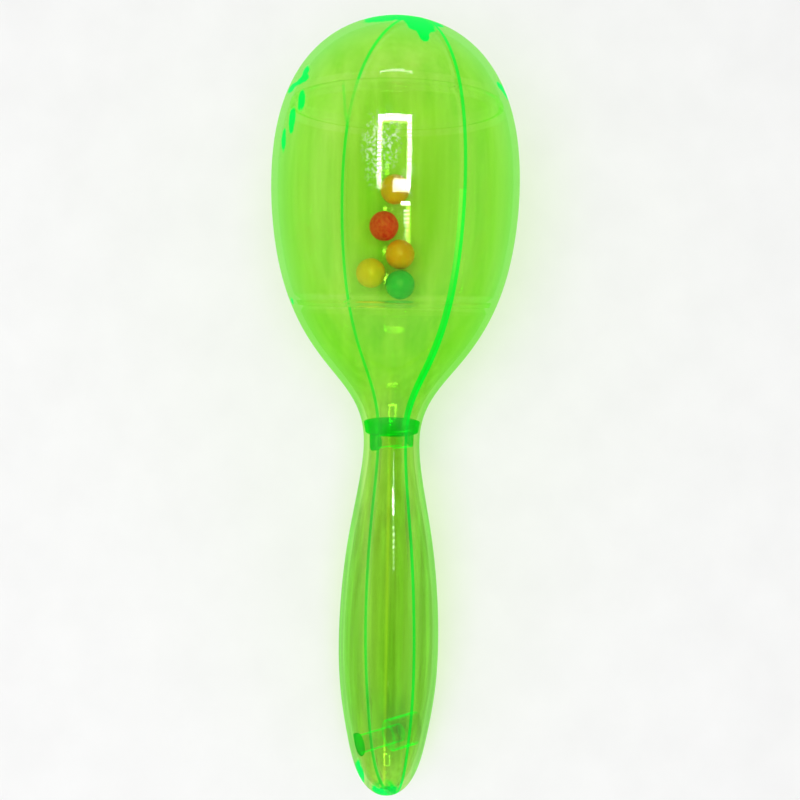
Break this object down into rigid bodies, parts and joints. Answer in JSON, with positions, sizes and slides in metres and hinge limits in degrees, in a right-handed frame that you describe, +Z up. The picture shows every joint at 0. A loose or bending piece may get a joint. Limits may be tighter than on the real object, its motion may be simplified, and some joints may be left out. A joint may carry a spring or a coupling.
{
  "type": "maraca",
  "caption": "Toy maraca of transparent plastic: an egg-shaped head with loose coloured beads shut in a chamber, on a slim round hollow handle.",
  "frame": {"origin": "on the surface that the maraca rests on, below the middle of its bounding box", "axes": "+X from the handle towards the head, +Z up; the maraca's own axis lies in the XZ plane and rises about 8 degrees towards the head"},
  "size_m": [0.1984, 0.0606, 0.0617],
  "materials": {
    "clear_green": "transparent neon green, high gloss",
    "solid_green": "transparent neon green seen through its thickness, high gloss",
    "seam_green": "bright green weld line, satin",
    "bead_amber": "opaque, satin",
    "bead_red": "opaque, slightly mottled satin",
    "bead_orange": "opaque, satin",
    "bead_yellow": "opaque, satin",
    "bead_green": "opaque, satin"
  },
  "bodies": {
    "body": {"half_shell_front": "clear_green", "half_shell_back": "clear_green", "weld_seam": "seam_green", "dome_disc": "clear_green", "floor_disc": "clear_green", "neck_bulkhead": "solid_green"},
    "bead_amber": {"bead_amber": "bead_amber"},
    "bead_red": {"bead_red": "bead_red"},
    "bead_orange": {"bead_orange": "bead_orange"},
    "bead_yellow": {"bead_yellow": "bead_yellow"},
    "bead_green": {"bead_green": "bead_green"}
  },
  "joints": [
    {"name": "bead_amber_hop", "type": "slide", "parent": "body", "child": "bead_amber", "axis": [-0.1401, 0, 0.9901], "range_m": [0, 0.04881]},
    {"name": "bead_red_hop", "type": "slide", "parent": "body", "child": "bead_red", "axis": [-0.1401, 0, 0.9901], "range_m": [0, 0.04806]},
    {"name": "bead_orange_hop", "type": "slide", "parent": "body", "child": "bead_orange", "axis": [-0.1401, 0, 0.9901], "range_m": [0, 0.04657]},
    {"name": "bead_yellow_hop", "type": "slide", "parent": "body", "child": "bead_yellow", "axis": [-0.1401, 0, 0.9901], "range_m": [0, 0.0423]},
    {"name": "bead_green_hop", "type": "slide", "parent": "body", "child": "bead_green", "axis": [-0.1401, 0, 0.9901], "range_m": [0, 0.04249]}
  ]
}
